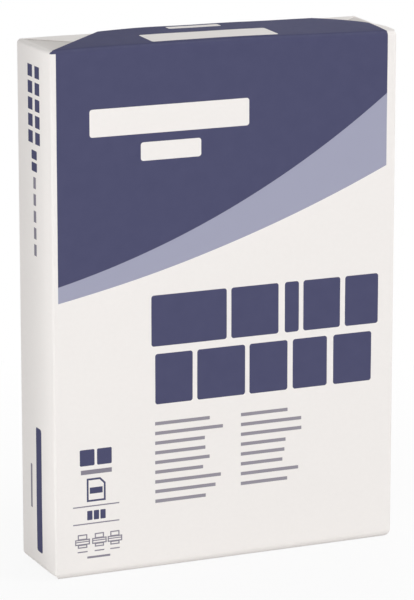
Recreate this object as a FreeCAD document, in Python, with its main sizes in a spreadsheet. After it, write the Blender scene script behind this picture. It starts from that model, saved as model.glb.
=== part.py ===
import FreeCAD, Part
import os

# A ream of copier paper in its wrapper, standing on one end. Millimetres, +Z up, printed panel to -Y.
# The pack is sealed, so the sheets and the wrapper around them are one solid. The wrapper is a
# sleeve with a glued lap seam down the back panel. At each end its two sides are tucked in first,
# the back flap is folded over them and the front flap over the back one, each with 45 degree sides.

SIZES = {
    "sheet_width": 210.0,
    "sheet_length": 297.0,
    "sheet_count": 500,
    "sheet_caliper": 0.102,
    "wrap_caliper": 0.12,
    "wrap_slack": 0.5,
    "long_edge_radius": 1.6,
    "end_edge_radius": 3.0,
    "crease_radius": 0.3,
    "layer_step": 0.4,
    "top_lift": 2.8,
    "flap_margin": 5.0,
    "seam_overlap": 25.0,
    "seam_step": 0.2,
}

NODE = "wrapped_ream"

# Outside sizes of the sleeve, and the level of each folded layer above its middle plane
WRAP = "(sizes.wrap_caliper + sizes.wrap_slack)"
WIDTH = f"(sizes.sheet_width + 2 * {WRAP})"
THICKNESS = f"(sizes.sheet_count * sizes.sheet_caliper + 2 * {WRAP})"
HALF_HEIGHT = f"(sizes.sheet_length / 2 + {WRAP})"
BACK_FLAP_LEVEL = f"({HALF_HEIGHT} + sizes.layer_step)"
FRONT_FLAP_LEVEL = f"({HALF_HEIGHT} + 2 * sizes.layer_step)"
FLAP_DEPTH = f"({THICKNESS} - sizes.flap_margin)"

doc = FreeCAD.newDocument("ream")


def make_sheet():
    """The driving sizes, one cell each, named by its alias."""
    sheet = doc.addObject("Spreadsheet::Sheet", "sizes")
    for row, (alias, value) in enumerate(SIZES.items(), start=1):
        sheet.set(f"A{row}", alias)
        sheet.set(f"B{row}", str(value))
        sheet.setAlias(f"B{row}", alias)
    doc.recompute()


def bind(thing, expressions):
    """Tie each named property of an object to an expression on the sheet."""
    for name, expression in expressions.items():
        thing.setExpression(name, expression)


def is_upright(along, middle):
    return abs(along.z) > 0.99


def is_level(along, middle):
    """Edges of the two end faces, whichever way they run."""
    return abs(along.z) < 0.01


def is_hinge(along, middle):
    """The edge that a flap of the upper end is folded over, at the front of its wedge."""
    return abs(along.x) > 0.99 and middle.y < 0 and middle.z > 0


def is_slanted(along, middle):
    """The two folded sides of a flap."""
    return abs(along.x) > 0.1 and abs(along.y) > 0.1 and middle.z > 0


def is_across_back(along, middle):
    """The two ends of a band on the back panel."""
    return abs(along.x) > 0.99 and middle.y > 0


def add_fillet(body, radius, wanted):
    """Round the edges of the body, as it is so far, whose direction and middle pass the test."""
    doc.recompute()
    base = body.Tip
    names = [f"Edge{number}" for number, edge in enumerate(base.Shape.Edges, start=1)
             if wanted(edge.tangentAt(edge.FirstParameter), edge.CenterOfMass)]
    fillet = body.newObject("PartDesign::Fillet", "fillet")
    fillet.Base = (base, names)
    fillet.setExpression("Radius", radius)


def make_block(name, half_height):
    """A box centred on the origin, with the wrapper's rounded long edges."""
    body = doc.addObject("PartDesign::Body", name)
    box = body.newObject("PartDesign::AdditiveBox", f"{name}_box")
    bind(box, {
        "Length": WIDTH,
        "Width": THICKNESS,
        "Height": f"2 * {half_height}",
        ".Placement.Base.x": f"-{WIDTH} / 2",
        ".Placement.Base.y": f"-{THICKNESS} / 2",
        ".Placement.Base.z": f"-{half_height}",
    })
    add_fillet(body, "sizes.long_edge_radius", is_upright)
    return body


def make_sleeve():
    """The stack in its sleeve, up to the level of the tucked sides, with soft end edges."""
    body = make_block("sleeve", HALF_HEIGHT)
    add_fillet(body, "sizes.end_edge_radius", is_level)
    return body


def make_flap(name, facing, end, level, lift):
    """One folded flap: a wedge from its hinge edge, with 45 degree sides, down to mid height.

    facing is -1 for the front flap and 1 for the back flap, end is 1 at the top and -1 below.
    The wedge grows along its own Y from the hinge edge, and a half turn puts the back flap and
    the lower end in place.
    """
    body = doc.addObject("PartDesign::Body", name)
    wedge = body.newObject("PartDesign::AdditiveWedge", f"{name}_wedge")
    bind(wedge, {
        "Xmin": f"-{WIDTH} / 2",
        "Xmax": f"{WIDTH} / 2",
        "X2min": f"-{WIDTH} / 2 + {FLAP_DEPTH}",
        "X2max": f"{WIDTH} / 2 - {FLAP_DEPTH}",
        "Ymin": f"-{THICKNESS} / 2",
        "Ymax": f"-{THICKNESS} / 2 + {FLAP_DEPTH}",
        "Zmin": "0",
        "Z2min": "0",
        "Zmax": level,
        "Z2max": f"{level} + {lift}",
    })
    add_fillet(body, "sizes.end_edge_radius", is_hinge)
    add_fillet(body, "sizes.crease_radius", is_slanted)
    upside_down = FreeCAD.Rotation(FreeCAD.Vector(0, 1, 0), 180 if end < 0 else 0)
    about = FreeCAD.Rotation(FreeCAD.Vector(0, 0, 1), 180 if facing > 0 else 0)
    body.Placement = FreeCAD.Placement(FreeCAD.Vector(), upside_down.multiply(about))
    return body


def make_seam():
    """The lap of the sleeve: a band down the back panel that runs over both back flaps."""
    level = f"({BACK_FLAP_LEVEL} + sizes.seam_step)"
    body = doc.addObject("PartDesign::Body", "seam")
    band = body.newObject("PartDesign::AdditiveBox", "seam_band")
    bind(band, {
        "Length": "sizes.seam_overlap",
        "Width": f"{THICKNESS} / 2 + sizes.seam_step",
        "Height": f"2 * {level}",
        ".Placement.Base.x": "-sizes.seam_overlap / 2",
        ".Placement.Base.z": f"-{level}",
    })
    add_fillet(body, "sizes.end_edge_radius", is_across_back)
    return body


def trim(name, flap, outline):
    """Keep a flap inside the rounded outline of the sleeve."""
    common = doc.addObject("Part::Common", name)
    common.Base = flap
    common.Tool = outline
    return common


make_sheet()
pieces = [make_sleeve(), make_seam()]
outline_reach = f"({FRONT_FLAP_LEVEL} + sizes.top_lift + sizes.end_edge_radius)"
for end_name, end, lift in (("top", 1, "sizes.top_lift"), ("bottom", -1, "0")):
    for flap_name, facing, level, flap_lift in (("back", 1, BACK_FLAP_LEVEL, "0"),
                                                ("front", -1, FRONT_FLAP_LEVEL, lift)):
        name = f"{end_name}_{flap_name}"
        flap = make_flap(f"{name}_flap", facing, end, level, flap_lift)
        outline = make_block(f"{name}_outline", outline_reach)
        pieces.append(trim(f"{name}_folded", flap, outline))

# The whole pack stands with its lowest face at zero and its box centred front to back
ream = doc.addObject("Part::MultiFuse", "ream")
ream.Shapes = pieces
ream.Refine = True
ream.Label = NODE
bind(ream, {
    ".Placement.Base.y": "-sizes.seam_step / 2",
    ".Placement.Base.z": FRONT_FLAP_LEVEL,
})
doc.recompute()

for thing in doc.Objects:
    if "Invalid" in thing.State or "Error" in thing.State:
        raise SystemExit(f"{thing.Name} failed: {thing.State}")
if ream.Shape.isNull() or not ream.Shape.isValid() or len(ream.Shape.Solids) != 1:
    raise SystemExit(f"{NODE} is not one valid solid")

os.makedirs("parts", exist_ok=True)
ream.Shape.exportStep(f"parts/{NODE}.step")
box = ream.Shape.BoundBox
print(f"{NODE}: {box.XLength:.2f} x {box.YLength:.2f} x {box.ZLength:.2f} mm,"
      f" from z {box.ZMin:.3f}, {ream.Shape.Volume / 1000:.1f} cm3, {len(ream.Shape.Faces)} faces")
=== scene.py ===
import math

import bpy
import numpy as np
from mathutils import Euler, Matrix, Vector


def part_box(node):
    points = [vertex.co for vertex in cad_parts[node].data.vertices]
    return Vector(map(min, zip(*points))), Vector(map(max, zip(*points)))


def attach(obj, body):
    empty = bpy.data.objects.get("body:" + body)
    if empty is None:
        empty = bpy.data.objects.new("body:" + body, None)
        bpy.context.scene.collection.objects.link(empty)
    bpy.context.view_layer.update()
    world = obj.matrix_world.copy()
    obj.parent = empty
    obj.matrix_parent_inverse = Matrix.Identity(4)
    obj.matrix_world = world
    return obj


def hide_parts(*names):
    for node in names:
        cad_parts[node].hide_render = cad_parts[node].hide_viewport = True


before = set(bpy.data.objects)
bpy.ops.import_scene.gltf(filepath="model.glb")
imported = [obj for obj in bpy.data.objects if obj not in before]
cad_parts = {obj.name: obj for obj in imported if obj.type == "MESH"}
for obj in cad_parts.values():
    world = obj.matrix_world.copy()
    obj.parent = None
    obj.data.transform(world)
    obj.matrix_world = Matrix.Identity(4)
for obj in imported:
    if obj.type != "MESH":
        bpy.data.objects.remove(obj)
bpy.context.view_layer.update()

# A sealed ream of copier paper, standing on its end. The wrapper is one sheet of paper, folded as the
# real one is: a sleeve with a lap seam down the back, and at each end tucked sides, a back flap and a
# front flap. Its mesh is a grid of rings round the sleeve, which run on into the folds at both ends.

MM = 0.001
NODE = "wrapped_ream"
low_corner, high_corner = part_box(NODE)

# The wrapper's sizes, in metres
LAYER_STEP = 0.4 * MM
TOP_LIFT = 2.8 * MM
SEAM_STEP = 0.2 * MM
SEAM_HALF = 12.5 * MM
SEAM_SLOPE = 5 * MM
SIDE_SLACK = 0.75 * MM
FACE_SLACK = 0.35 * MM
LONG_EDGE_RADIUS = 1.4 * MM
LEAST_RADIUS = 0.02 * MM
TOP_EDGE_RADIUS = 2.0 * MM
LOW_EDGE_RADIUS = 3.4 * MM
FLAP_MARGIN = 5 * MM
WIDE_FOLD = 31 * MM
WIDE_FOLD_POWER = 2.5
PAPER = 0.12 * MM

HALF_WIDTH = (high_corner.x - low_corner.x) / 2 - SIDE_SLACK
HALF_THICK = (high_corner.y - low_corner.y - SEAM_STEP) / 2 - FACE_SLACK
HALF_GIRTH = 2 * (HALF_WIDTH + HALF_THICK)
MIDDLE_Y = -SEAM_STEP / 2
BASE_Z = low_corner.z + 2 * LAYER_STEP
TOP_Z = high_corner.z - 2 * LAYER_STEP - TOP_LIFT
HALF_HEIGHT = (TOP_Z - BASE_Z) / 2
MIDDLE_Z = (TOP_Z + BASE_Z) / 2
FLAP_DEPTH = 2 * HALF_THICK - FLAP_MARGIN

# Cells of the grid
WIDE_CELLS = 72
SEAM_CELLS = 8
SIDE_CELLS = 20
HIGH_CELLS = 86
FLAP_CELLS = 30
EDGE_CELLS = 7
ROLL_CELLS = 6
GUSSET_CELLS = 6
CREASE_CELLS = 4
CORNER_CELLS = ROLL_CELLS + GUSSET_CELLS + CREASE_CELLS


def smooth(low, high, value):
    """A soft step from 0 at low to 1 at high."""
    part = np.clip((value - low) / (high - low), 0, 1)
    return part * part * (3 - 2 * part)


def waves(places, size, seed, count=7):
    """A smooth uneven field, mostly between -1 and 1, whose bumps are about size across."""
    rng = np.random.default_rng(seed)
    total = 0
    for _ in range(count):
        way = rng.normal(size=len(places))
        way *= 2 * math.pi / (size * rng.uniform(0.7, 1.6) * np.linalg.norm(way))
        total = total + np.sin(sum(k * p for k, p in zip(way, places)) + rng.uniform(0, 2 * math.pi))
    return total / math.sqrt(count)


def end_rings(radius):
    """The rings of one end, from the panels' edge to the flaps' free edge, as four rows: how far each
    lies inside the sleeve's outline, the level of the plain box there, its place along the unfolded
    sheet from the sleeve's middle, and the radius of the hinge."""
    turn = np.linspace(0, math.pi / 2, EDGE_CELLS + 1)
    flap = np.linspace(radius, FLAP_DEPTH, FLAP_CELLS + 1)[1:]
    start = HALF_HEIGHT - radius
    inset = np.concatenate([radius * (1 - np.cos(turn)), flap])
    height = np.concatenate([start + radius * np.sin(turn), 0 * flap + HALF_HEIGHT])
    along = np.concatenate([start + radius * turn, start + radius * (math.pi / 2 - 1) + flap])
    return np.stack([inset, height, along, 0 * along + radius])


# Rings, from the free edges of the lower flaps to those of the upper ones, one row each, so that they
# combine with columns. end is 1 on the upper folds, -1 on the lower ones and 0 on the panels. The crease
# between a tucked side and its gusset starts at 45 degrees and then keeps close to the wide panel's hinge.
CREASE_MARGIN = 0.8 * MM

upper = end_rings(TOP_EDGE_RADIUS)
lower = end_rings(LOW_EDGE_RADIUS)[:, ::-1] * np.array([[1], [-1], [-1], [1]])
panel = np.linspace(lower[1, -1], upper[1, 0], HIGH_CELLS + 1)[1:-1]
between = np.stack([0 * panel, panel, panel, 0 * panel + LOW_EDGE_RADIUS])
inset, height, along, hinge = np.concatenate([lower, between, upper], axis=1)[:, :, None]
end = np.concatenate([0 * lower[0] - 1, 0 * panel, 0 * upper[0] + 1])[:, None]
folded = smooth(0.1 * hinge, 1.5 * hinge, inset)
raised = smooth(0, hinge, inset)
crease_most = hinge + CREASE_MARGIN
crease_inset = inset * crease_most / (inset ** 3 + crease_most ** 3) ** (1 / 3)
flap_part = inset / FLAP_DEPTH


def fold_inset(side, facing):
    """How far inside the outline the folded side of a flap runs. The right side of the upper front flap
    isn't pressed flat: it keeps near the pack's edge at first and stays further out than the others."""
    wide = np.where(end > 0, WIDE_FOLD * flap_part ** WIDE_FOLD_POWER, inset)
    return wide if side > 0 and facing < 0 else inset


# The upper front flap over the end of the stack: its height at the hinge, and what is added up to its
# free edge, in its middle and beside its folded sides
MIDDLE_START = 0.75 * MM
MIDDLE_SPRING = 1.75 * MM
LESS_SPRING_RIGHT = 0.85 * MM
FLAP_WAVE = 0.07 * MM
SIDE_START = 0.5 * MM
LEFT_SPRING = 1.3 * MM
RIGHT_SPRING = 0.55 * MM
RIGHT_PUFF = 0.4 * MM
SIDE_REACH = 14 * MM


def front_level(x):
    """How high a front flap lies over the end of the stack. The upper one springs up, most at the left
    of its free edge; the weight of the pack presses the lower one flat."""
    from_side = np.maximum(HALF_WIDTH - np.where(x < 0, inset, fold_inset(1, -1)) - np.abs(x), 0)
    springy = MIDDLE_SPRING - LESS_SPRING_RIGHT * smooth(-50 * MM, 75 * MM, x)
    middle = MIDDLE_START + springy * flap_part ** 0.8 + FLAP_WAVE * flap_part * waves((x,), 60 * MM, 3)
    left = SIDE_START + LEFT_SPRING * flap_part
    right = SIDE_START + RIGHT_PUFF * smooth(0, SIDE_REACH, inset) + RIGHT_SPRING * flap_part
    beside = (np.where(x < 0, left, right) - middle) * np.exp(-from_side / SIDE_REACH)
    return np.where(end > 0, middle + beside, 2 * LAYER_STEP)


BACK_START = 0.3 * MM
PUFF_LEFT = 0.05 * MM
PUFF_RIGHT = 0.15 * MM
PUFF_REACH = 9 * MM
RIDGES = 0.08 * MM
MORE_RIDGES_LEFT = 0.14 * MM
RIDGE_SIZE = 5 * MM
RIDGE_STRETCH = 0.12


def back_level(x):
    """The same for a back flap, which lies under the front one. The upper one has ridges across it."""
    from_side = np.maximum(HALF_WIDTH - inset - np.abs(x), 0)
    puff = np.where(x < 0, PUFF_LEFT, PUFF_RIGHT) * np.exp(-from_side / PUFF_REACH)
    puff = puff * smooth(0, PUFF_REACH, inset)
    ridges = 0.5 + 0.5 * np.tanh(1.6 * waves((x * RIDGE_STRETCH, inset), RIDGE_SIZE, 5))
    wrinkle = (RIDGES + MORE_RIDGES_LEFT * smooth(-20 * MM, -75 * MM, x)) * ridges * raised
    return np.where(end > 0, BACK_START + puff + wrinkle, LAYER_STEP)


TUCK_DIP = 1.1 * MM
TUCK_WRINKLE = 0.14 * MM
TUCK_DIP_Y = -4 * MM
TUCK_DIP_REACH = 12 * MM


def tuck_level(x, y):
    """The tucked side between the two flaps. The upper one is pushed in a little and wrinkled."""
    depth = HALF_WIDTH - np.abs(x)
    from_back_flap = HALF_THICK - depth - y
    dip = smooth(1 * MM, 11 * MM, depth) * (1 - smooth(18 * MM, 36 * MM, depth))
    dip = dip * smooth(-1 * MM, 9 * MM, from_back_flap) * np.exp(-((y - TUCK_DIP_Y) / TUCK_DIP_REACH) ** 2)
    return (TUCK_WRINKLE * waves((depth, y), 11 * MM, 6) - TUCK_DIP) * dip * (end > 0)


PANEL_LOOSENESS = 0.12 * MM
PANEL_RIPPLE = 0.04 * MM
END_PUCKER = 0.09 * MM
GLUE_PUCKER = 0.06 * MM
PUCKER_REACH = 13 * MM


def panel_bulge(x, facing):
    """How far the wrapper stands out from the stack on the front and back panels."""
    to_end = HALF_HEIGHT - np.abs(height)
    loose = PANEL_LOOSENESS * waves((x, height), 110 * MM, 11 + facing)
    ripple = PANEL_RIPPLE * waves((x, height), 34 * MM, 21 + facing)
    pucker = END_PUCKER * waves((x, height * 0.25), 17 * MM, 31 + facing) * np.exp(-to_end / PUCKER_REACH)
    glued = GLUE_PUCKER * waves((x * 0.4, height), 15 * MM, 61) * np.exp(-(x / PUCKER_REACH) ** 2)
    inside = smooth(0, 7 * MM, HALF_WIDTH - np.abs(x)) * (1 - raised)
    return (loose + ripple + pucker + glued * (facing > 0)) * inside


SIDE_LOOSENESS = 0.06 * MM
SHEET_LINES = 0.02 * MM
SIDE_FULLNESS = 0.55 * MM


def side_bulge(y, side):
    """The same on the narrow sides, which are fullest towards the front. The edges of the sheets show
    there as faint upright lines."""
    loose = SIDE_LOOSENESS * waves((y, height), 70 * MM, 41 + side)
    lines = SHEET_LINES * waves((y, height * 0.04), 6 * MM, 51 + side)
    forward = smooth(HALF_THICK, -0.55 * HALF_THICK, y) * smooth(-HALF_THICK, -0.5 * HALF_THICK, y)
    inside = smooth(0, 3 * MM, HALF_THICK - np.abs(y)) * (1 - raised)
    return (loose + lines) * inside + SIDE_FULLNESS * forward * (1 - raised)


# Shares of the way from the middle of a wide panel to its edge: half the lap seam, and its wall's slope
SEAM_SHARE = SEAM_HALF / (HALF_WIDTH - LONG_EDGE_RADIUS)
WALL_SHARE = 0.0004


def wide_columns(facing):
    """Shares across a wide panel from -1 to 1, left to right as seen from outside. The back panel has two
    columns close together at the outer edge of its lap seam."""
    seam = np.linspace(-SEAM_SHARE, SEAM_SHARE, SEAM_CELLS + 1)
    beyond = np.linspace(SEAM_SHARE, 1, (WIDE_CELLS - SEAM_CELLS) // 2 + 1)[1:]
    step = [-SEAM_SHARE - WALL_SHARE] if facing > 0 else []
    return np.concatenate([-beyond[::-1], step, seam, beyond])[None, ::-facing]


def wide_part(facing):
    """A wide panel with its flaps. facing is -1 for the front and 1 for the back."""
    share = wide_columns(facing)
    fold = np.where(share < 0, fold_inset(-1, facing), fold_inset(1, facing))
    half = HALF_WIDTH - (1 - folded) * np.maximum(LONG_EDGE_RADIUS, inset) - folded * fold
    beyond = (np.abs(share) - SEAM_SHARE) / (1 - SEAM_SHARE)
    x = np.where(beyond > 0, np.sign(share) * (SEAM_HALF + beyond * (half - SEAM_HALF)),
                 share / SEAM_SHARE * SEAM_HALF)
    level = front_level(x) if facing < 0 else back_level(x)
    y = facing * (HALF_THICK - inset + panel_bulge(x, facing))
    flat = x
    if facing > 0:
        doubled = share > -SEAM_SHARE - WALL_SHARE / 2
        lap = doubled * (1 - smooth(SEAM_HALF, SEAM_HALF + SEAM_SLOPE, x)) * SEAM_STEP
        y = y + lap * (1 - raised)
        level = level + lap * (end > 0)
        flat = np.where(doubled, HALF_GIRTH - x, -HALF_GIRTH - x)
    return np.stack([x, y, height + end * level * raised, flat], axis=-1)


def narrow_part(side):
    """A narrow panel with its tucked ends. side is 1 at the right and -1 at the left."""
    half = HALF_THICK - (1 - folded) * np.maximum(LONG_EDGE_RADIUS, inset) - folded * crease_inset
    y = np.linspace(-1, 1, SIDE_CELLS + 1)[None, ::side] * half
    x = side * (HALF_WIDTH - inset + side_bulge(y, side))
    z = height + end * tuck_level(x, y) * raised
    return np.stack([x, y, z, side * (HALF_WIDTH + HALF_THICK + y)], axis=-1)


# Between a flap and the gusset under it, and from the end of the stack up to the gusset's crease. The
# crease of the upper front flap is higher where the back flap lies under it.
FOLD_GAP = 0.28 * MM
MORE_GAP_INSIDE = 0.3 * MM
UPPER_CREASE = 0.26 * MM
OVER_BACK_FLAP = 0.3 * MM
LOWER_CREASE = 0.46 * MM
BACK_CREASE = 0.04 * MM


def gusset_levels(side, facing, fold_x):
    """The height of a flap at its folded side, its distance from the gusset and the crease's height."""
    if facing > 0:
        level = back_level(side * fold_x)
        return level, level - BACK_CREASE, BACK_CREASE + 0 * inset
    gap = FOLD_GAP + MORE_GAP_INSIDE * smooth(5 * MM, 25 * MM, inset) * (end > 0)
    upper_crease = UPPER_CREASE + OVER_BACK_FLAP * smooth(12 * MM, 25 * MM, inset)
    return front_level(side * fold_x), gap, np.where(end > 0, upper_crease, LOWER_CREASE)


def corner_part(side, facing):
    """The cells between a wide and a narrow panel: the rounded long edge, which at the ends turns into
    the flap's folded side, the gusset under it and the crease to the tucked side."""
    radius = np.maximum(LONG_EDGE_RADIUS - inset, LEAST_RADIUS)
    angle = np.linspace(0, math.pi / 2, CORNER_CELLS + 1)[None, 1:-1]
    round_x = HALF_WIDTH - inset - radius * (1 - np.sin(angle))
    round_y = HALF_THICK - inset - radius * (1 - np.cos(angle))
    round_flat = HALF_WIDTH + LONG_EDGE_RADIUS * (angle / (math.pi / 4) - 1)

    fold_x = HALF_WIDTH - fold_inset(side, facing)
    tuck_x = HALF_WIDTH - inset
    fold_y = HALF_THICK - inset
    crease_y = HALF_THICK - crease_inset
    level, gap, crease_level = gusset_levels(side, facing, fold_x)
    roll = np.linspace(0, math.pi, ROLL_CELLS + 1)[None, 1:]
    under = np.linspace(0, 1, GUSSET_CELLS + 1)[None, 1:]
    bend = np.linspace(0, math.pi, CREASE_CELLS + 1)[None, 1:-1]
    roll_out = gap / 2 * np.sin(roll) / math.sqrt(2)
    x = np.hstack([fold_x + roll_out, fold_x + (tuck_x - fold_x) * under, tuck_x + 0 * bend])
    y = np.hstack([fold_y - roll_out, fold_y + (crease_y - fold_y) * under,
                   crease_y + crease_level / 2 * np.sin(bend)])
    lift = np.hstack([level - gap / 2 * (1 - np.cos(roll)),
                      (level - gap) * (1 - under) + crease_level * under,
                      crease_level / 2 * (1 + np.cos(bend))])
    flat = np.hstack([fold_x + 0 * roll, fold_x + (HALF_WIDTH - fold_x) * under,
                      HALF_WIDTH + 0 * inset * bend])

    x = side * ((1 - folded) * round_x + folded * x)
    y = facing * ((1 - folded) * round_y + folded * y)
    z = height + end * lift * folded * raised
    flat = (1 - folded) * round_flat + folded * flat
    flat = side * (flat if facing < 0 else HALF_GIRTH - flat)
    points = np.stack([x, y, z, flat], axis=-1)
    return points if side * facing < 0 else points[:, ::-1]


CORNER_DROP = 1.9 * MM
DROP_START_X = -10 * MM
DROP_HEIGHT = 28 * MM


def drop_corner(points):
    """Lowers the upper front right corner, which the photograph shows a little crushed."""
    x, y, z = (points[..., axis] for axis in range(3))
    to_right = smooth(DROP_START_X, HALF_WIDTH, x)
    to_front = np.clip((HALF_THICK - y) / (2 * HALF_THICK), 0, 1)
    to_top = smooth(HALF_HEIGHT - DROP_HEIGHT, HALF_HEIGHT, z)
    points[..., 2] -= CORNER_DROP * to_right * to_front * to_top


def skin_normals(points):
    """Unit normals of a grid of rings, pointing out of the sleeve."""
    round_way = np.roll(points, -1, axis=1) - np.roll(points, 1, axis=1)
    normals = np.cross(round_way, np.gradient(points, axis=0))
    return normals / np.maximum(np.linalg.norm(normals, axis=-1, keepdims=True), 1e-12)


def to_corners(values):
    """The values of a grid's points at the four corners of each of its cells, ring by ring."""
    beside = np.roll(values, -1, axis=1)
    cells = np.stack([values[:-1], beside[:-1], beside[1:], values[1:]], axis=2)
    return cells.reshape(-1, 4, *values.shape[2:])


def sheet_places(flat):
    """Where each corner of each outer face lies on the unfolded sheet, right of the front panel's left
    edge and up from its lower edge. The wall of the lap seam belongs to the sheet on top."""
    across = to_corners(flat)
    seam = np.abs(across[:, 1] - across[:, 0]) > HALF_GIRTH
    across[seam, 0] = across[seam, 1]
    across[seam, 3] = across[seam, 2]
    up = to_corners(np.broadcast_to(along, flat.shape))
    return np.stack([across + HALF_WIDTH, up + HALF_HEIGHT], axis=-1)


# Shares of a texture's width that each part of the wrapper gets in the second layout, front first
FRONT_SHARE = 0.535
CORNER_SHARE = 0.012
RIGHT_SHARE = 0.075
BACK_SHARE = 0.18
LEFT_SHARE = 0.105
INNER_SHARE = 0.03
TEXTURE_MARGIN = 0.004
INNER_MARGIN = 0.002


def texture_places(parts, rings):
    """A layout of both skins in which no faces overlap and each has some width."""
    shares = [FRONT_SHARE, CORNER_SHARE, RIGHT_SHARE, CORNER_SHARE,
              BACK_SHARE, CORNER_SHARE, LEFT_SHARE, CORNER_SHARE]
    counts = [part.shape[1] for part in parts]
    widths = np.repeat(np.array(shares) / counts, counts)
    starts = TEXTURE_MARGIN + np.concatenate([[0], np.cumsum(widths)[:-1]])
    up = (along[:, 0] - along.min()) / (along.max() - along.min())
    up = TEXTURE_MARGIN + (1 - 2 * TEXTURE_MARGIN) * up
    corners = np.empty((rings - 1, len(starts), 4, 2))
    corners[..., 0] = starts[None, :, None] + widths[None, :, None] * np.array([0, 1, 1, 0])
    corners[..., 1] = np.stack([up[:-1], up[:-1], up[1:], up[1:]], axis=-1)[:, None, :]
    outer = corners.reshape(-1, 4, 2)
    inner = outer[:, ::-1] * np.array([INNER_SHARE, 1]) + np.array([1 - INNER_SHARE - INNER_MARGIN, 0])
    return outer, inner


def make_wrapper():
    """The folded sheet as one closed mesh: its outer skin, its inner skin and its cut edges."""
    parts = [wide_part(-1), corner_part(1, -1), narrow_part(1), corner_part(1, 1),
             wide_part(1), corner_part(-1, 1), narrow_part(-1), corner_part(-1, -1)]
    grid = np.concatenate(parts, axis=1)
    drop_corner(grid)
    rings, columns = grid.shape[:2]
    outer = grid[..., :3] + np.array([0, MIDDLE_Y, MIDDLE_Z])
    inner = outer - PAPER * skin_normals(outer)
    points = np.concatenate([outer.reshape(-1, 3), inner.reshape(-1, 3)])

    skin = rings * columns
    numbers = np.arange(skin).reshape(rings, columns)
    outer_faces = to_corners(numbers)
    inner_faces = outer_faces[:, ::-1] + skin
    rims = []
    for ring, way in ((0, -1), (-1, 1)):
        here, beside = numbers[ring], np.roll(numbers[ring], -1)
        rims.append(np.stack([here, beside, beside + skin, here + skin], axis=-1)[:, ::way])
    faces = np.concatenate([outer_faces, inner_faces, *rims])

    mesh = bpy.data.meshes.new("wrapper")
    mesh.from_pydata(points.tolist(), [], faces.tolist())
    is_plain = np.arange(len(faces)) >= len(outer_faces)
    mesh.polygons.foreach_set("material_index", is_plain.astype(int))
    plain_places = np.zeros((is_plain.sum(), 4, 2))
    sheet = np.concatenate([sheet_places(grid[..., 3]), plain_places])
    outer_places, inner_places = texture_places(parts, rings)
    rim_places = inner_places[np.r_[:columns, -columns:0]]
    texture = np.concatenate([outer_places, inner_places, rim_places])
    for name, places in (("sheet", sheet), ("OFBake", texture)):
        mesh.uv_layers.new(name=name).uv.foreach_set("vector", places.ravel())
    mesh.update()
    mesh.shade_smooth()
    mesh.set_sharp_from_angle(angle=math.radians(50))
    piece = bpy.data.objects.new("folded_wrapper", mesh)
    bpy.context.scene.collection.objects.link(piece)
    return piece


class Value:
    """A number in a node tree. Maths on it adds the nodes that work it out."""

    def __init__(self, maker, socket):
        self.maker = maker
        self.socket = socket

    def maths(self, operation, *numbers):
        return self.maker.node("ShaderNodeMath", {"operation": operation}, dict(enumerate(numbers)))

    def __add__(self, other):
        return self.maths("ADD", self, other)

    def __sub__(self, other):
        return self.maths("SUBTRACT", self, other)

    def __rsub__(self, other):
        return self.maths("SUBTRACT", other, self)

    def __mul__(self, other):
        return self.maths("MULTIPLY", self, other)

    def __truediv__(self, other):
        return self.maths("DIVIDE", self, other)

    def __pow__(self, other):
        return self.maths("POWER", self, other)

    def __lt__(self, other):
        return self.maths("LESS_THAN", self, other)

    def __gt__(self, other):
        return self.maths("GREATER_THAN", self, other)

    def __abs__(self):
        return self.maths("ABSOLUTE", self)

    def floor(self):
        return self.maths("FLOOR", self)

    def remainder(self, other):
        return self.maths("FLOORED_MODULO", self, other)

    def at_least(self, other):
        return self.maths("MAXIMUM", self, other)

    def at_most(self, other):
        return self.maths("MINIMUM", self, other)

    def within(self, low, high):
        """1 between two numbers and 0 outside them."""
        return self.maths("COMPARE", self, (low + high) / 2, (high - low) / 2)

    def part(self, number):
        """One of a vector's three numbers."""
        split = self.maker.node("ShaderNodeSeparateXYZ", {}, {0: self})
        return Value(self.maker, split.socket.node.outputs[number])

    __radd__ = __add__
    __rmul__ = __mul__


class NodeMaker:
    """Adds nodes to one node tree."""

    def __init__(self, tree):
        self.tree = tree

    def node(self, kind, settings=None, values=None, output=0):
        made = self.tree.nodes.new(kind)
        for name, setting in (settings or {}).items():
            setattr(made, name, setting)
        self.connect(made, values or {})
        return Value(self, made.outputs[output])

    def connect(self, node, values):
        for name, value in values.items():
            if isinstance(value, Value):
                self.tree.links.new(value.socket, node.inputs[name])
            else:
                node.inputs[name].default_value = value

    def mix(self, share, first, second):
        """A colour between two colours."""
        settings = {"data_type": "RGBA"}
        return self.node("ShaderNodeMix", settings, {"Factor": share, 6: first, 7: second}, output=2)

    def noise(self, place, size, detail, roughness):
        return self.node("ShaderNodeTexNoise", {}, {"Vector": place, "Scale": 1 / size, "Detail": detail,
                                                    "Roughness": roughness})


class Finish(NodeMaker):
    """A material that is built node by node around one principled shader."""

    def __init__(self, name):
        self.material = bpy.data.materials.new(name)
        self.material.use_nodes = True
        super().__init__(self.material.node_tree)
        self.shader = self.tree.nodes["Principled BSDF"]

    def shade(self, **values):
        self.connect(self.shader, {name.replace("_", " "): value for name, value in values.items()})


def rgb(red, green, blue):
    """A colour as it looks on a screen, 0 to 255, as the linear colour that nodes hold."""
    return tuple(((c / 255 + 0.055) / 1.055) ** 2.4 for c in (red, green, blue)) + (1.0,)


PAPER_BRIGHT = rgb(246, 242, 239)
PAPER_DULL = rgb(242, 238, 235)
# The grey of the painted shade on the tucked sides
TUCK_SHADE_GREY = rgb(138, 132, 124)
NAVY_THICK = rgb(77, 78, 108)
NAVY_THIN = rgb(84, 85, 115)
PALE_BLUE = rgb(165, 166, 187)
GREY_INK = rgb(140, 136, 148)
LIST_INK = rgb(152, 148, 157)

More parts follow.
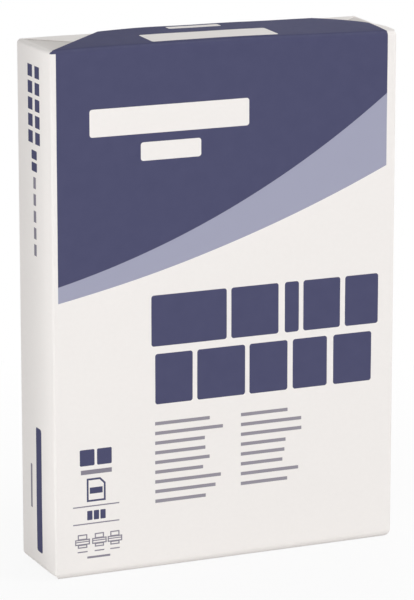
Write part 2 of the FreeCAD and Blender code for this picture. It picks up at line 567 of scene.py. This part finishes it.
# The printed design is circle fields and plain blocks, bars and lines. It is in millimetres on the
# unfolded sheet: right of the front panel's left edge, and up from its lower edge.
FIELD_LEFT = 3.0
FIELD_RIGHT = 203.9
FIELD_LOW = 100.0
FLAP_START = 297.0
FLAP_FIELD_LEFT = -2.0
NAVY_CIRCLE = (-120.2, 690.6, 537.5)
PALE_CIRCLE = (-150.9, 1012.6, 868.2)

# Blocks: left, right, low and high edge, and the radius of the corners
BLOCKS_IN_FIELD = (
    (22.4, 118.2, 249.5, 265.0, 1.6),
    (52.7, 89.0, 234.3, 244.7, 1.6),
    (62.0, 138.6, 302.5, 322.5, 1.6),
    (86.0, 118.0, 335.0, 341.0, 1.0),
)
LARGE_ROWS = (
    (128.4, 157.7, ((58.5, 104.6), (107.4, 136.8), (140.7, 149.5), (152.3, 175.5), (178.6, 199.6))),
    (94.9, 124.0, ((60.7, 83.6), (86.4, 116.0), (118.7, 142.5), (145.8, 167.4), (171.4, 195.6))),
)
LARGE_CORNER = 1.6
SMALL_BLOCKS = (
    (14.9, 23.8, 64.0, 73.4, 0.8),
    (25.3, 34.2, 64.0, 73.4, 0.8),
    (20.8, 28.6, 47.6, 51.2, 0),
    (19.1, 22.3, 32.4, 37.8, 0.4),
    (23.1, 26.3, 32.4, 37.8, 0.4),
    (27.1, 30.3, 32.4, 37.8, 0.4),
)
GREY_BARS = (
    (15.5, 34.2, 59.0, 61.6),
    (10.6, 38.6, 40.1, 40.8),
    (10.6, 38.6, 30.0, 30.7),
    (19.0, 32.9, 10.0, 11.2),
)

# Signs: left, right, and for the sheet low and high edge
SHEET_SIGN = (19.0, 30.4, 43.0, 56.6)
SHEET_SIGN_LINE = 1.1
SHEET_SIGN_CUT = 3.2
MACHINE_SIGNS = ((11.7, 20.7), (22.0, 30.8), (31.4, 40.2))
MACHINE_SIGN_LOW = 16.4
MACHINE_SIGN_LINE = 0.7
MACHINE_SIGN_STEP = 1.6
SIGN_BAR_STEP = 1.5
SIGN_BAR_LOW = 13.8

# Lists: left edge, longest bar, top, pitch and number of bars
LISTS = ((60.6, 47.0, 84.7, 5.66, 9), (113.5, 40.5, 84.2, 5.8, 8))
LIST_BAR = 2.0
SHORTEST_BAR = 0.62

# On the left side of the pack, the first two numbers are how far left of the front panel's edge. A row
# of blocks ends in the number of blocks and the gap between them.
SIDE_ROWS = ((16.0, 23.2, 243.8, 287.4, 5, 2.4), (27.0, 34.2, 243.8, 287.4, 5, 2.4))
SIDE_BLOCKS = (
    (21.0, 29.4, 228.2, 233.2, 0.6),
    (21.0, 29.4, 235.0, 240.0, 0.6),
    (19.0, 27.6, 9.6, 82.0, 1.6),
)
SIDE_GREY_ROW = (23.0, 27.0, 180.6, 225.0, 5, 3.0)
SIDE_GREY_BAR = (34.4, 36.8, 33.0, 58.5)


def inside_circle(u, v, circle):
    centre_u, centre_v, radius = circle
    return (u - centre_u) ** 2 + (v - centre_v) ** 2 < radius ** 2


def block(u, v, left, right, low, high, corner=0):
    """A rectangle of ink, with rounded corners if they have a radius."""
    if corner == 0:
        return u.within(left, right) * v.within(low, high)
    beside = (abs(u - (left + right) / 2) - ((right - left) / 2 - corner)).at_least(0)
    above = (abs(v - (low + high) / 2) - ((high - low) / 2 - corner)).at_least(0)
    return beside * beside + above * above < corner ** 2


def all_blocks(u, v, edges):
    return sum(block(u, v, *each) for each in edges)


def block_row(u, v, left, right, low, high, count, gap):
    """A row of equal blocks that are stacked upward."""
    pitch = (high - low + gap) / count
    return u.within(left, right) * v.within(low, high) * ((v - low).remainder(pitch) < pitch - gap)


def frame_line(u, v, left, right, low, high, line):
    """The outline of a rectangle."""
    inner = block(u, v, left + line, right - line, low + line, high - line)
    return block(u, v, left, right, low, high) - inner


def sheet_sign(u, v, left, right, low, high):
    """The outline of a sheet whose upper right corner is cut off."""
    above = u + v - (right + high - SHEET_SIGN_CUT)
    outline = frame_line(u, v, left, right, low, high, SHEET_SIGN_LINE) * (above < 0)
    slanted = above.within(-1.4 * SHEET_SIGN_LINE, 0)
    return outline + block(u, v, left, right, low, high) * slanted


def machine_sign(u, v, left, right, low):
    """A plain sign for a printer: a box with a sheet above, a tray below, and a short bar under it."""
    box = frame_line(u, v, left, right, low + 1.8, low + 5.2, MACHINE_SIGN_LINE)
    slot = block(u, v, left, right, low + 3.4, low + 4.0)
    inner_left, inner_right = left + MACHINE_SIGN_STEP, right - MACHINE_SIGN_STEP
    sheet = frame_line(u, v, inner_left, inner_right, low + 4.8, low + 8.0, MACHINE_SIGN_LINE)
    tray = frame_line(u, v, inner_left, inner_right, low, low + 2.2, MACHINE_SIGN_LINE)
    bar_left, bar_right = left + SIGN_BAR_STEP, right - SIGN_BAR_STEP
    bar = block(u, v, bar_left, bar_right, SIGN_BAR_LOW, SIGN_BAR_LOW + MACHINE_SIGN_LINE)
    return box + slot + sheet + tray + bar


def bar_list(finish, u, v, left, longest, top, pitch, count):
    """A column of thin bars of uneven length, like a short list."""
    down = (top - v) / pitch
    row = down.floor()
    chance = finish.node("ShaderNodeTexWhiteNoise", {"noise_dimensions": "1D"}, {"W": row + left})
    length = longest * (SHORTEST_BAR + chance * (1 - SHORTEST_BAR))
    in_row = down.remainder(1.0) < LIST_BAR / pitch
    return in_row * row.within(-0.5, count - 0.5) * (u > left) * (u < length + left)


def navy_print(u, v):
    """The blocks and the sign in navy, on the front panel and on the left side."""
    large = sum(block(u, v, left, right, low, high, LARGE_CORNER)
                for low, high, spans in LARGE_ROWS for left, right in spans)
    front = large + all_blocks(u, v, SMALL_BLOCKS) + sheet_sign(u, v, *SHEET_SIGN)
    leftward = 0 - u
    rows = sum(block_row(leftward, v, *row) for row in SIDE_ROWS)
    return front + rows + all_blocks(leftward, v, SIDE_BLOCKS)


def grey_print(u, v):
    """The bars and the signs in grey, on the front panel and on the left side."""
    signs = sum(machine_sign(u, v, left, right, MACHINE_SIGN_LOW) for left, right in MACHINE_SIGNS)
    leftward = 0 - u
    beside = block(leftward, v, *SIDE_GREY_BAR) + block_row(leftward, v, *SIDE_GREY_ROW)
    return all_blocks(u, v, GREY_BARS) + signs + beside


# The feel of the paper, in metres where it is a size
PULP_SIZE = 2.5 * MM
INK_PATCH = 9 * MM
FIBRE_SIZE = 0.5 * MM
FIBRE_HEIGHT = 0.05 * MM

# In millimetres on the sheet: ink is rubbed off along the upper hinge, and past the panels the tucked
# sides
# at both ends are mixed towards grey: painted shade, which makes them look greyer than the rest.
HINGE_LINE = 298.3
RUB_WIDTH = 0.9
RUB_SHARE = 0.08
SHEET_MIDDLE = 149.0
HALF_PANEL = 149.6
NARROW_SIDES = ((-51.0, 0.0), (210.0, 261.0))
PAINTED_SHADE_RAMP = 3.0
PAINTED_SHADE_SHARE = 0.26


def pulp_spots(finish, place):
    return finish.noise(place, PULP_SIZE, 4.0, 0.6)


def fibre_bump(finish, place, strength):
    fibre = finish.noise(place, FIBRE_SIZE, 3.0, 0.6)
    return finish.node("ShaderNodeBump", {}, {"Strength": strength, "Distance": FIBRE_HEIGHT,
                                              "Height": fibre})


def printed_paper():
    finish = Finish("printed_wrapper_paper")
    sheet = finish.node("ShaderNodeUVMap", {"uv_map": "sheet"})
    u = sheet.part(0) / MM
    v = sheet.part(1) / MM

    flap_field = u.within(FLAP_FIELD_LEFT, FIELD_RIGHT) * (v > FLAP_START)
    field = u.within(FIELD_LEFT, FIELD_RIGHT).at_least(flap_field) * (v > FIELD_LOW)
    pale = inside_circle(u, v, PALE_CIRCLE) * field
    bare = all_blocks(u, v, BLOCKS_IN_FIELD)
    navy = inside_circle(u, v, NAVY_CIRCLE) * field - bare + navy_print(u, v)
    lists = sum(bar_list(finish, u, v, *each) for each in LISTS)

    pulp = pulp_spots(finish, sheet)
    paper = finish.mix(pulp, PAPER_DULL, PAPER_BRIGHT)
    uneven = finish.noise(sheet, INK_PATCH, 5.0, 0.55)
    rub = (1 - abs(v - HINGE_LINE) / RUB_WIDTH).at_least(0.0) * pulp * RUB_SHARE
    navy_ink = finish.mix(rub, finish.mix(uneven, NAVY_THICK, NAVY_THIN), PALE_BLUE)
    colour = finish.mix(pale, paper, PALE_BLUE)
    colour = finish.mix(grey_print(u, v), colour, GREY_INK)
    colour = finish.mix(lists, colour, LIST_INK)
    colour = finish.mix(navy, colour, navy_ink)
    colour = finish.mix(bare, colour, paper)

    # Painted shade: past the panels, at both ends, the tucked sides are mixed towards grey
    narrow = sum(u.within(left, right) for left, right in NARROW_SIDES)
    past_panel = (abs(v - SHEET_MIDDLE) - HALF_PANEL) / PAINTED_SHADE_RAMP
    painted_tuck_shade = past_panel.at_least(0.0).at_most(1.0) * narrow
    colour = finish.mix(painted_tuck_shade * PAINTED_SHADE_SHARE, colour, TUCK_SHADE_GREY)
    finish.shade(Base_Color=colour, Roughness=0.78 - navy.at_most(1.0) * 0.1, Specular_IOR_Level=0.012,
                 Normal=fibre_bump(finish, sheet, 0.12))
    return finish.material


def plain_paper():
    finish = Finish("plain_wrapper_paper")
    place = Value(finish, finish.node("ShaderNodeTexCoord").socket.node.outputs["Object"])
    colour = finish.mix(pulp_spots(finish, place), PAPER_DULL, PAPER_BRIGHT)
    finish.shade(Base_Color=colour, Roughness=0.8, Specular_IOR_Level=0.1,
                 Normal=fibre_bump(finish, place, 0.2))
    return finish.material


wrapper = make_wrapper()
wrapper.data.materials.append(printed_paper())
wrapper.data.materials.append(plain_paper())
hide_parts(NODE)
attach(wrapper, "root")

# The studio, in metres
SURROUND_LIGHT = 0.5
WHITE = (1, 1, 1, 1)
FLOOR_REACH = 6.0
FLOOR_GREY = (0.8, 0.8, 0.8, 1)
WHITE_NEAR_PACK = 0.86
ALL_WHITE_FROM = 0.45


def seen_directly(maker):
    """1 for rays that the camera, gloss or glass sees, and 0 for light."""
    rays = maker.node("ShaderNodeLightPath").socket.node.outputs
    kinds = ("Is Camera Ray", "Is Glossy Ray", "Is Transmission Ray")
    camera, gloss, glass = [Value(maker, rays[kind]) for kind in kinds]
    return camera.at_least(gloss).at_least(glass)


def make_floor():
    """A white floor, which keeps the soft shadow near the pack."""
    mesh = bpy.data.meshes.new("floor")
    corners = [(x * FLOOR_REACH, y * FLOOR_REACH, 0) for x, y in ((-1, -1), (1, -1), (1, 1), (-1, 1))]
    mesh.from_pydata(corners, [], [(0, 1, 2, 3)])
    floor = bpy.data.objects.new("floor", mesh)
    bpy.context.scene.collection.objects.link(floor)
    finish = Finish("floor_white")
    finish.shade(Base_Color=FLOOR_GREY, Roughness=0.9, Specular_IOR_Level=0.1)
    place = finish.node("ShaderNodeNewGeometry")
    away = finish.node("ShaderNodeVectorMath", {"operation": "LENGTH"}, {0: place}, output=1)
    white = WHITE_NEAR_PACK + (away / ALL_WHITE_FROM).at_most(1.0) * (1 - WHITE_NEAR_PACK)
    glow = finish.node("ShaderNodeEmission", {}, {"Color": WHITE, "Strength": 1.0})
    plain = Value(finish, finish.shader.outputs[0])
    both = finish.node("ShaderNodeMixShader", {}, {0: seen_directly(finish) * white, 1: plain, 2: glow})
    finish.connect(finish.tree.nodes["Material Output"], {"Surface": both})
    mesh.materials.append(finish.material)


def make_surround():
    """An even light from all round, which the camera and the gloss see as white."""
    world = bpy.data.worlds.new("surround")
    bpy.context.scene.world = world
    world.use_nodes = True
    maker = NodeMaker(world.node_tree)
    strength = SURROUND_LIGHT + seen_directly(maker) * (1 - SURROUND_LIGHT)
    maker.connect(maker.tree.nodes["Background"], {"Color": WHITE, "Strength": strength})


# Lamps: the way to them from the pack's middle, their distance, their size, and how light each makes a
# white face that is turned to it
LAMPS = {
    "front_left_lamp": ((-0.66, -0.75, 0.05), 1.67, 0.7, 0.365),
    "front_right_lamp": ((0.70, -0.45, 0.555), 2.2, 0.9, 0.385),
    "back_lamp": ((0.55, 0.80, 0.12), 1.6, 0.8, 0.34),
}
STRIP_WIDTH = 0.04
STRIP_HEIGHT = 0.6
STRIP_SPREAD = math.radians(12)
STRIP_POWER = 0.026
STRIP_PLACE = Vector((-0.65, -0.04, MIDDLE_Z))


def place_lamp(name, data, place, way):
    """Puts a lamp in its place, with its back towards way."""
    lamp = bpy.data.objects.new(name, data)
    lamp.location = place
    lamp.rotation_euler = way.to_track_quat("Z", "Y").to_euler()
    bpy.context.scene.collection.objects.link(lamp)


def add_soft_lamp(name, towards, distance, size, brightness):
    data = bpy.data.lights.new(name, "AREA")
    data.size = size
    data.energy = brightness * math.pi ** 2 * distance ** 2
    way = Vector(towards).normalized()
    place_lamp(name, data, Vector((0, 0, MIDDLE_Z)) + way * distance, way)


def add_strip_lamp(name):
    """A tall narrow lamp with a grid, at the left and a little in front. Its beam passes along the
    narrow side, so that the side is lighter towards the front."""
    data = bpy.data.lights.new(name, "AREA")
    data.shape = "RECTANGLE"
    data.size = STRIP_WIDTH
    data.size_y = STRIP_HEIGHT
    data.spread = STRIP_SPREAD
    data.energy = STRIP_POWER
    place_lamp(name, data, STRIP_PLACE, Vector((-1, 0, 0)))


# The camera stands in front at the left and looks down a little
CAMERA_TURN = math.radians(23.97)
CAMERA_DIP = math.radians(13.27)
CAMERA_DISTANCE = 1.951
CAMERA_AIM = Vector((-0.97 * MM, MIDDLE_Y, BASE_Z + 145.4 * MM))
CAMERA_LENS = 205.96


def make_camera():
    data = bpy.data.cameras.new("camera")
    data.lens = CAMERA_LENS
    camera = bpy.data.objects.new("camera", data)
    level = math.cos(CAMERA_DIP)
    look = Vector((math.sin(CAMERA_TURN) * level, math.cos(CAMERA_TURN) * level, -math.sin(CAMERA_DIP)))
    camera.location = CAMERA_AIM - look * CAMERA_DISTANCE
    camera.rotation_euler = Euler((math.pi / 2 - CAMERA_DIP, 0, -CAMERA_TURN))
    bpy.context.scene.collection.objects.link(camera)
    bpy.context.scene.camera = camera


make_floor()
make_surround()
for lamp_name, lamp in LAMPS.items():
    add_soft_lamp(lamp_name, *lamp)
add_strip_lamp("side_strip_lamp")
make_camera()
bpy.context.scene.view_settings.view_transform = "Standard"
